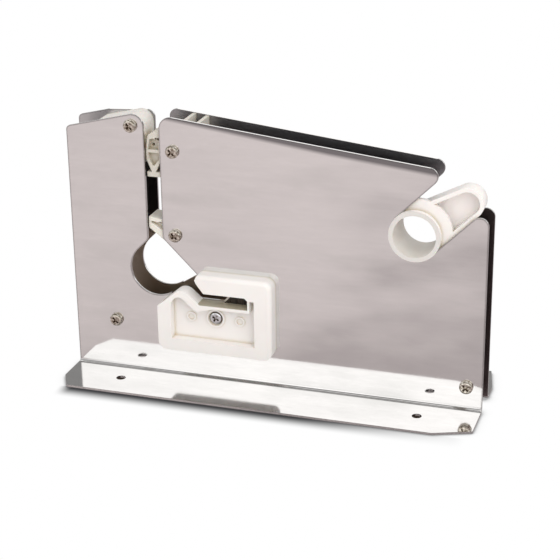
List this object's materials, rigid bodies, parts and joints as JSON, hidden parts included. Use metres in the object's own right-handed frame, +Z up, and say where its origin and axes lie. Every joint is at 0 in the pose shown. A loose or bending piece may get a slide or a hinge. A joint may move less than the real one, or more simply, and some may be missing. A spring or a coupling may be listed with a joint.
{
  "type": "bag neck sealer",
  "caption": "Bench bag neck sealer: two bent steel plates with a neck slot, white sprung gates, a lift-out tape holder in a slanted notch and a tail trimmer on the front face",
  "frame": {"origin": "underside of the flanges, under the middle of the sealer", "axes": "+X along the plates from the neck slot to the tape notch, +Y from the trimmer side through to the rear plate, +Z up"},
  "size_m": [0.22, 0.079, 0.1415],
  "materials": {
    "sheet_steel": "brushed stainless sheet, satin",
    "white_moulding": "moulded plastic, satin",
    "blade_steel": "hard blade steel, ground",
    "bright_steel": "turned steel",
    "zinc_screws": "zinc plated, bright",
    "spring_wire": "drawn spring wire"
  },
  "bodies": {
    "frame": {"front_plate": "sheet_steel", "rear_plate": "sheet_steel", "left_guide_block": "white_moulding", "right_guide_block": "white_moulding", "upper_gate_sleeve": "bright_steel", "upper_gate_spring": "spring_wire", "lower_gate_sleeve": "bright_steel", "lower_gate_spring": "spring_wire", "cutter_blade": "blade_steel", "cutter_clamp": "bright_steel", "cutter_screws": "zinc_screws", "roller_pin": "bright_steel", "left_spacer": "bright_steel", "right_spacer": "bright_steel", "plate_screws": "zinc_screws", "plate_nuts": "zinc_screws", "trimmer_body": "white_moulding", "trimmer_blade": "blade_steel", "trimmer_screw": "zinc_screws", "trimmer_nut": "zinc_screws"},
    "upper_gate": {"upper_gate": "white_moulding"},
    "lower_gate": {"lower_gate": "white_moulding"},
    "guide_roller": {"guide_roller": "white_moulding"},
    "tape_holder": {"tape_holder": "white_moulding"}
  },
  "joints": [
    {"name": "upper_gate_swing", "type": "hinge", "parent": "frame", "child": "upper_gate", "pos_m": [-0.05205, 0, 0.1237], "axis": [0, -1, 0], "range_deg": [0, 95], "stiffness_Nm_per_rad": 0.01, "springref_deg": -14.9, "deforming": ["upper_gate_spring"]},
    {"name": "lower_gate_swing", "type": "hinge", "parent": "frame", "child": "lower_gate", "pos_m": [-0.05205, 0, 0.0788], "axis": [0, -1, 0], "range_deg": [0, 90], "stiffness_Nm_per_rad": 0.01, "springref_deg": -14.9, "deforming": ["lower_gate_spring"]},
    {"name": "guide_roller_spin", "type": "hinge", "parent": "frame", "child": "guide_roller", "pos_m": [-0.02405, 0, 0.1135], "axis": [0, -1, 0], "continuous": true},
    {"name": "tape_holder_lift", "type": "slide", "parent": "frame", "child": "tape_holder", "axis": [0.7071, 0, 0.7071], "range_m": [0, 0.045]}
  ]
}
